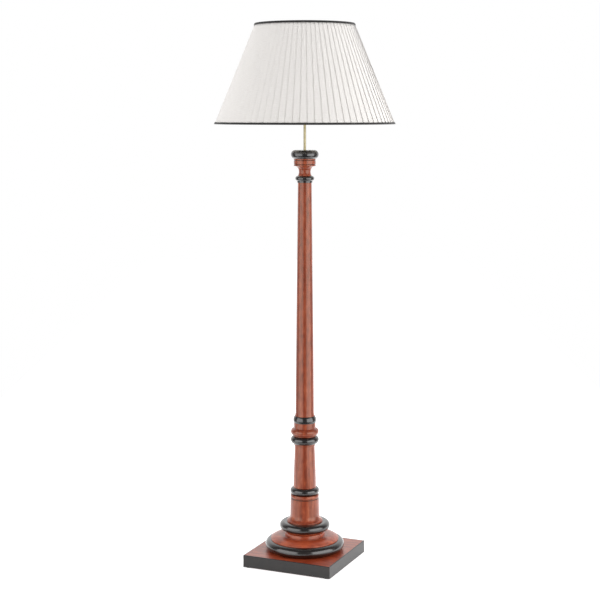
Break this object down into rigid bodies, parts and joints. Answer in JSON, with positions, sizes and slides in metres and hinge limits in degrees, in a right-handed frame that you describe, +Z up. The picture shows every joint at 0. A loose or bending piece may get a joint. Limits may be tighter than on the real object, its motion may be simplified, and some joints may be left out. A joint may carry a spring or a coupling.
{
  "type": "candlestick floor lamp",
  "caption": "Turned-wood floor lamp on a square plinth, with dark rings, a slim riser and a pleated empire shade that turns on its lampholder; the bulb lifts out.",
  "frame": {"origin": "on the lamp's axis, on the floor under the felt pads", "axes": "+Z up along the column; -Y is the plinth's front edge, +Y its rear edge with the cord inlet"},
  "size_m": [0.5499, 0.55, 1.667],
  "materials": {
    "felt": "felt",
    "cherry": "satin lacquer",
    "ebonised": "gloss lacquer",
    "hardboard": "painted",
    "steel": "zinc plated",
    "iron": "as cast, painted",
    "brass": "satin",
    "porcelain": "glazed",
    "knob": "gloss",
    "bulb_black": "gloss",
    "opal_glass": "opal",
    "pleated_cloth": "matt",
    "lining_sheet": "matt",
    "braid": "woven",
    "white_wire": "enamelled",
    "flex_jacket": "satin",
    "black_plastic": "satin"
  },
  "bodies": {
    "stand": {"foot_pads": "felt", "plinth_board": "cherry", "edging_front": "ebonised", "edging_right": "ebonised", "edging_rear": "ebonised", "edging_left": "ebonised", "bottom_cover": "hardboard", "cover_screws": "steel", "ballast_plate": "iron", "ballast_screws": "steel", "tie_tube": "steel", "tie_nuts": "steel", "tie_washers": "steel", "base_ring": "ebonised", "base_mound": "cherry", "small_ring": "ebonised", "column_foot": "cherry", "foot_ring": "ebonised", "lower_column": "cherry", "knop_low_ring": "ebonised", "knop_bead": "cherry", "knop_top_ring": "ebonised", "upper_column": "cherry", "neck_ring": "ebonised", "cup": "cherry", "cap": "ebonised", "riser_coupling": "brass", "riser": "brass", "holder_cap": "brass", "holder_insert": "porcelain", "holder_skirt": "brass", "screw_shell": "brass", "centre_contact": "brass", "seat_ring": "brass", "inner_flex": "flex_jacket", "terminal_block": "black_plastic", "cord_inlet": "black_plastic", "clamp_block": "black_plastic", "clamp_bar": "black_plastic", "clamp_screws": "steel"},
    "shade": {"shade_cover": "pleated_cloth", "shade_lining": "lining_sheet", "bottom_trim": "braid", "top_trim": "braid", "bottom_wire": "white_wire", "top_wire": "white_wire", "shade_ribs": "white_wire", "fitter_ring": "white_wire", "fitter_spokes": "white_wire"},
    "grip_ring": {"shade_ring": "brass"},
    "switch": {"switch_knob": "knob"},
    "bulb": {"bulb_cap": "brass", "bulb_contact": "bulb_black", "bulb_glass": "opal_glass"}
  },
  "joints": [
    {"name": "shade_turn", "type": "hinge", "parent": "stand", "child": "shade", "pos_m": [0, 0, 1.4188], "axis": [0, 0, 1], "continuous": true},
    {"name": "shade_ring_turn", "type": "hinge", "parent": "stand", "child": "grip_ring", "pos_m": [0, 0, 1.4236], "axis": [0, 0, 1], "range_deg": [0, 1080]},
    {"name": "bulb_lift", "type": "slide", "parent": "stand", "child": "bulb", "axis": [0, 0, 1], "range_m": [0, 0.275]},
    {"name": "switch_turn", "type": "hinge", "parent": "stand", "child": "switch", "pos_m": [0.0285, 0, 1.4013], "axis": [1, 0, 0], "range_deg": [0, 90]}
  ]
}
